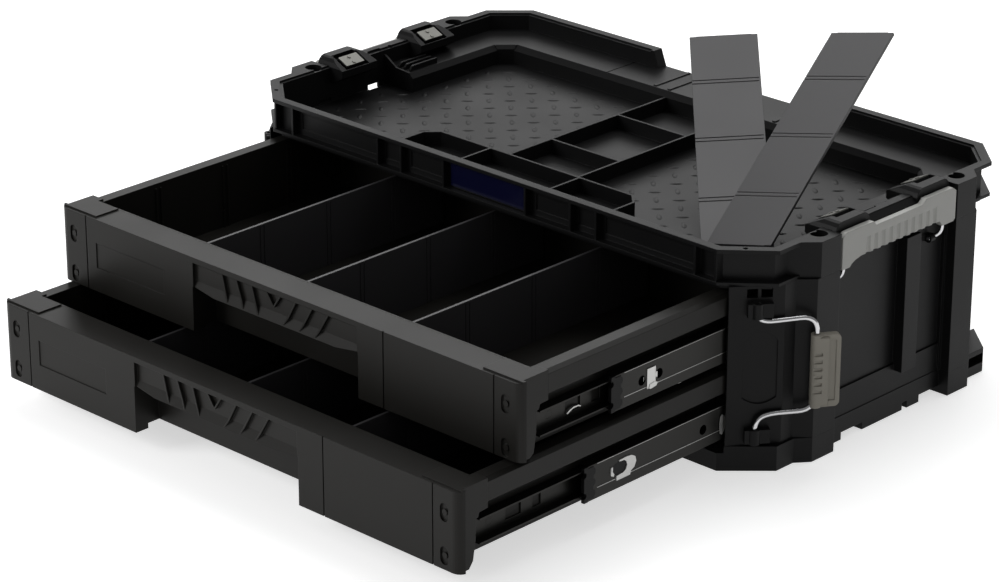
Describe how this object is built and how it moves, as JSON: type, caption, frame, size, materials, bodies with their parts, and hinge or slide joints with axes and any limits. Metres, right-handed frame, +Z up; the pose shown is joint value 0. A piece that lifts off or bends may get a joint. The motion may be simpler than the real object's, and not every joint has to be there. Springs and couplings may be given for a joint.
{
  "type": "portable tool box with drawers",
  "caption": "Low stackable tool box with an open divided top tray, two ball-bearing drawers, wire drawer locks, fold-out side handles and loose dividers.",
  "frame": {"origin": "middle of the case's footprint on the ground", "axes": "+Z up, -Y towards the drawer fronts, +X to the right of someone facing the drawers"},
  "size_m": [0.5956, 0.5876, 0.2547],
  "materials": {
    "case_black": "satin, finely grained moulding",
    "drawer_black": "satin, finely grained moulding",
    "divider_grey": "smooth satin",
    "handle_grip_grey": "satin",
    "lock_grip_grey": "satin, ribbed",
    "name_panel": "dark blue, smooth, no lettering",
    "stop_black": "plain",
    "slide_black": "black zinc finish",
    "bright_steel": "zinc plated",
    "catch_plate_steel": "dull zinc",
    "chrome_wire": "polished"
  },
  "bodies": {
    "case": {"top_tray": "case_black", "left_side_wall": "case_black", "right_side_wall": "case_black", "back_panel": "case_black", "base_panel": "case_black", "front_badge": "name_panel", "front_left_strike_plate": "catch_plate_steel", "front_right_strike_plate": "catch_plate_steel", "rear_left_strike_plate": "catch_plate_steel", "rear_right_strike_plate": "catch_plate_steel", "strike_plate_rivets": "catch_plate_steel", "upper_left_case_member": "slide_black", "upper_right_case_member": "slide_black", "lower_left_case_member": "slide_black", "lower_right_case_member": "slide_black", "case_slide_screws": "slide_black"},
    "upper_drawer": {"upper_drawer_front": "drawer_black", "upper_drawer_tub": "drawer_black", "upper_left_divider": "divider_grey", "upper_middle_divider": "divider_grey", "upper_right_divider": "divider_grey", "upper_left_drawer_member": "slide_black", "upper_right_drawer_member": "slide_black", "upper_drawer_screws": "slide_black"},
    "upper_middle": {"upper_left_middle_member": "slide_black", "upper_right_middle_member": "slide_black", "upper_end_stops": "stop_black", "upper_release_levers": "bright_steel"},
    "upper_outer_cages": {"upper_outer_ball_cages": "bright_steel"},
    "upper_inner_cages": {"upper_inner_ball_cages": "bright_steel"},
    "lower_drawer": {"lower_drawer_front": "drawer_black", "lower_drawer_tub": "drawer_black", "lower_left_divider": "divider_grey", "lower_middle_divider": "divider_grey", "lower_right_divider": "divider_grey", "lower_left_drawer_member": "slide_black", "lower_right_drawer_member": "slide_black", "lower_drawer_screws": "slide_black"},
    "lower_middle": {"lower_left_middle_member": "slide_black", "lower_right_middle_member": "slide_black", "lower_end_stops": "stop_black", "lower_release_levers": "bright_steel"},
    "lower_outer_cages": {"lower_outer_ball_cages": "bright_steel"},
    "lower_inner_cages": {"lower_inner_ball_cages": "bright_steel"},
    "left_lock": {"left_lock_wire": "chrome_wire", "left_lock_grip": "lock_grip_grey"},
    "left_handle": {"left_handle_wires": "chrome_wire", "left_handle_grip": "handle_grip_grey"},
    "right_lock": {"right_lock_wire": "chrome_wire", "right_lock_grip": "lock_grip_grey"},
    "right_handle": {"right_handle_wires": "chrome_wire", "right_handle_grip": "handle_grip_grey"},
    "first_divider": {"first_loose_divider": "divider_grey"},
    "second_divider": {"second_loose_divider": "divider_grey"}
  },
  "joints": [
    {"name": "upper_drawer_slide", "type": "slide", "parent": "case", "child": "upper_drawer", "axis": [0, -1, 0], "range_m": [-0.2127, 0.0604]},
    {"name": "upper_middle_slide", "type": "slide", "parent": "case", "child": "upper_middle", "axis": [0, -1, 0], "range_m": [-0.1365, 0.0391]},
    {"name": "upper_outer_cages_slide", "type": "slide", "parent": "case", "child": "upper_outer_cages", "axis": [0, -1, 0], "range_m": [-0.0685, 0.0198]},
    {"name": "upper_inner_cages_slide", "type": "slide", "parent": "case", "child": "upper_inner_cages", "axis": [0, -1, 0], "range_m": [-0.1748, 0.05]},
    {"name": "lower_drawer_slide", "type": "slide", "parent": "case", "child": "lower_drawer", "axis": [0, -1, 0], "range_m": [-0.2731, 0]},
    {"name": "lower_middle_slide", "type": "slide", "parent": "case", "child": "lower_middle", "axis": [0, -1, 0], "range_m": [-0.164, 0.0005]},
    {"name": "lower_outer_cages_slide", "type": "slide", "parent": "case", "child": "lower_outer_cages", "axis": [0, -1, 0], "range_m": [-0.0823, 0.0005]},
    {"name": "lower_inner_cages_slide", "type": "slide", "parent": "case", "child": "lower_inner_cages", "axis": [0, -1, 0], "range_m": [-0.2188, 0.0005]},
    {"name": "right_lock_hinge", "type": "hinge", "parent": "case", "child": "right_lock", "pos_m": [0.26021, -0.13771, 0.081], "axis": [0, 0, -1], "range_deg": [0, 150]},
    {"name": "right_handle_hinge", "type": "hinge", "parent": "case", "child": "right_handle", "pos_m": [0.273, 0, 0.1355], "axis": [0, 1, 0], "range_deg": [0, 95]},
    {"name": "left_lock_hinge", "type": "hinge", "parent": "case", "child": "left_lock", "pos_m": [-0.26021, -0.13771, 0.081], "axis": [0, 0, 1], "range_deg": [0, 150]},
    {"name": "left_handle_hinge", "type": "hinge", "parent": "case", "child": "left_handle", "pos_m": [-0.273, 0, 0.1355], "axis": [0, -1, 0], "range_deg": [0, 95]},
    {"name": "first_divider_lift", "type": "slide", "parent": "case", "child": "first_divider", "axis": [-0.6474, 0.6819, 0.3404], "range_m": [0, 0.05]},
    {"name": "second_divider_lift", "type": "slide", "parent": "case", "child": "second_divider", "axis": [-0.2662, 0.8899, 0.3704], "range_m": [0, 0.05]}
  ],
  "couplings": [
    {"joint": "upper_middle_slide", "follows": "upper_drawer_slide", "ratio": 0.6394},
    {"joint": "upper_outer_cages_slide", "follows": "upper_drawer_slide", "ratio": 0.3197},
    {"joint": "upper_inner_cages_slide", "follows": "upper_drawer_slide", "ratio": 0.8197},
    {"joint": "lower_middle_slide", "follows": "lower_drawer_slide", "ratio": 0.59868},
    {"joint": "lower_outer_cages_slide", "follows": "lower_drawer_slide", "ratio": 0.29934},
    {"joint": "lower_inner_cages_slide", "follows": "lower_drawer_slide", "ratio": 0.79934}
  ]
}
